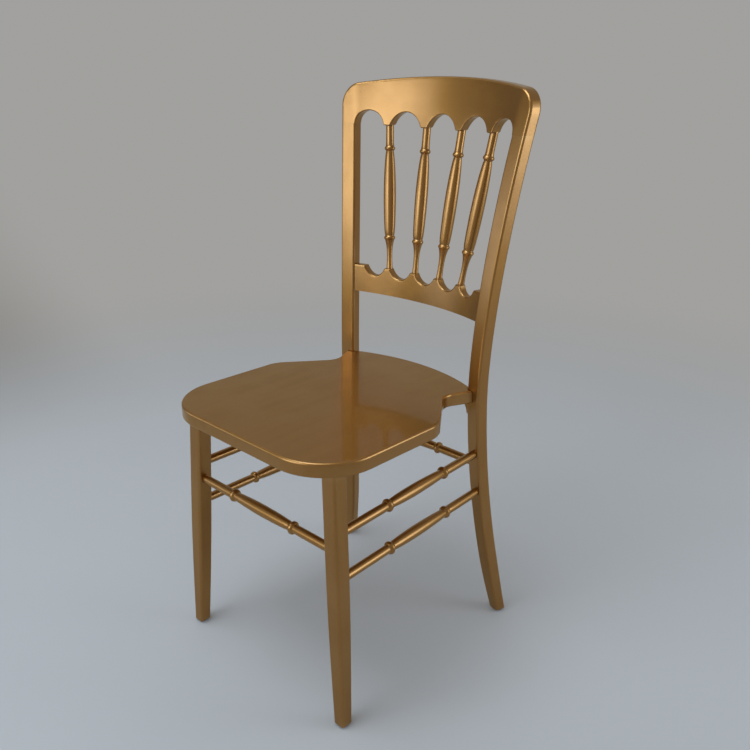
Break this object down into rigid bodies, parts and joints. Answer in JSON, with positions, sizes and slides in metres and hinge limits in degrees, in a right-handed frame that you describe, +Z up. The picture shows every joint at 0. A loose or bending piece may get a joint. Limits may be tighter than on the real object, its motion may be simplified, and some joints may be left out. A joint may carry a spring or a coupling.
{
  "type": "spindle back dining chair",
  "caption": "Armless wooden dining chair in gold lacquer, with a curved scalloped crest, turned spindles, a shaped flat seat panel and turned stretchers between splayed legs.",
  "frame": {"origin": "on the floor, under the middle of the chair's bounding box", "axes": "+Z up, -Y the way the sitter faces, +X the sitter's left"},
  "size_m": [0.4016, 0.4887, 0.915],
  "materials": {
    "gold_lacquer": "semi-gloss gold metallic lacquer over wood",
    "bare_beech": "bare turned beech, hidden in the joints",
    "zinc_steel": "bright zinc plating",
    "dark_nylon": "matt dark nylon"
  },
  "bodies": {
    "root": {"seat_panel": "gold_lacquer", "crest_rail": "gold_lacquer", "lower_back_rail": "gold_lacquer", "front_stretcher": "gold_lacquer", "rear_stretcher": "gold_lacquer", "back_spindle_1": "gold_lacquer", "back_spindle_2": "gold_lacquer", "back_spindle_3": "gold_lacquer", "back_spindle_4": "gold_lacquer", "left_back_post": "gold_lacquer", "left_front_leg": "gold_lacquer", "left_seat_bracket": "gold_lacquer", "left_upper_side_stretcher": "gold_lacquer", "left_lower_side_stretcher": "gold_lacquer", "right_back_post": "gold_lacquer", "right_front_leg": "gold_lacquer", "right_seat_bracket": "gold_lacquer", "right_upper_side_stretcher": "gold_lacquer", "right_lower_side_stretcher": "gold_lacquer", "left_crest_inner_dowel": "bare_beech", "left_crest_outer_dowel": "bare_beech", "left_rail_lower_dowel": "bare_beech", "left_rail_upper_dowel": "bare_beech", "left_seat_dowel": "bare_beech", "right_crest_inner_dowel": "bare_beech", "right_crest_outer_dowel": "bare_beech", "right_rail_lower_dowel": "bare_beech", "right_rail_upper_dowel": "bare_beech", "right_seat_dowel": "bare_beech", "left_bracket_screw": "zinc_steel", "right_bracket_screw": "zinc_steel", "left_front_glide": "dark_nylon", "left_rear_glide": "dark_nylon", "right_front_glide": "dark_nylon", "right_rear_glide": "dark_nylon"}
  },
  "joints": []
}
